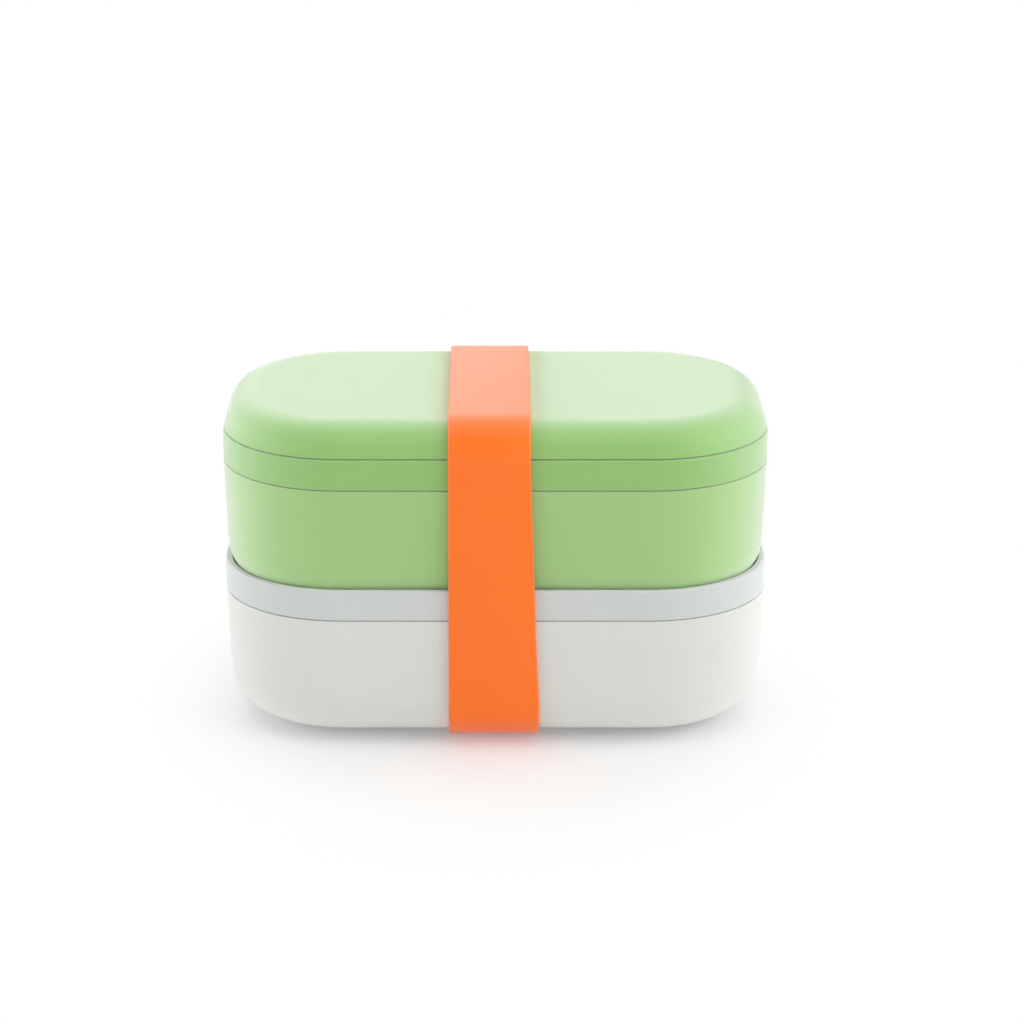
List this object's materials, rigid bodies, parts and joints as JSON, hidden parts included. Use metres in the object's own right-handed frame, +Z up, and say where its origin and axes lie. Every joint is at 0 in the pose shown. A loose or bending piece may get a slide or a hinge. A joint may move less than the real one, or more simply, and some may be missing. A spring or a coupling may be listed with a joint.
{
  "type": "bento lunch box",
  "caption": "Stacked lunch box: nesting food containers with sealed lids under a hollow domed cover, held together by an elastic strap round the middle.",
  "frame": {"origin": "on the ground under the middle of the box, on the underside of the strap's bottom run", "axes": "+X along the box's length, +Y to its back, +Z up"},
  "size_m": [0.18, 0.1072, 0.111],
  "materials": {
    "white_plastic": "off-white satin moulded polypropylene",
    "green_plastic": "apple green satin moulded polypropylene",
    "seal_silicone": "translucent white silicone gasket",
    "strap_silicone": "orange matt silicone"
  },
  "bodies": {
    "lower_box": {"lower_box": "white_plastic"},
    "lower_lid": {"lower_lid": "white_plastic", "lower_seal": "seal_silicone"},
    "upper_box": {"upper_box": "green_plastic"},
    "upper_lid": {"upper_lid": "green_plastic", "upper_seal": "seal_silicone"},
    "cover": {"cover": "green_plastic"},
    "strap": {"strap": "strap_silicone"}
  },
  "joints": [
    {"name": "lower_lid_lift", "type": "slide", "parent": "lower_box", "child": "lower_lid", "axis": [0, 0, 1], "range_m": [0, 0.095], "deforming": ["strap"]},
    {"name": "upper_box_lift", "type": "slide", "parent": "lower_lid", "child": "upper_box", "axis": [0, 0, 1], "range_m": [0, 0.09], "deforming": ["strap"]},
    {"name": "upper_lid_lift", "type": "slide", "parent": "upper_box", "child": "upper_lid", "axis": [0, 0, 1], "range_m": [0, 0.06], "deforming": ["strap"]},
    {"name": "cover_lift", "type": "slide", "parent": "upper_lid", "child": "cover", "axis": [0, 0, 1], "range_m": [0, 0.05], "deforming": ["strap"]},
    {"name": "strap_slide", "type": "slide", "parent": "lower_box", "child": "strap", "axis": [1, 0, 0], "range_m": [0, 0.125]}
  ]
}
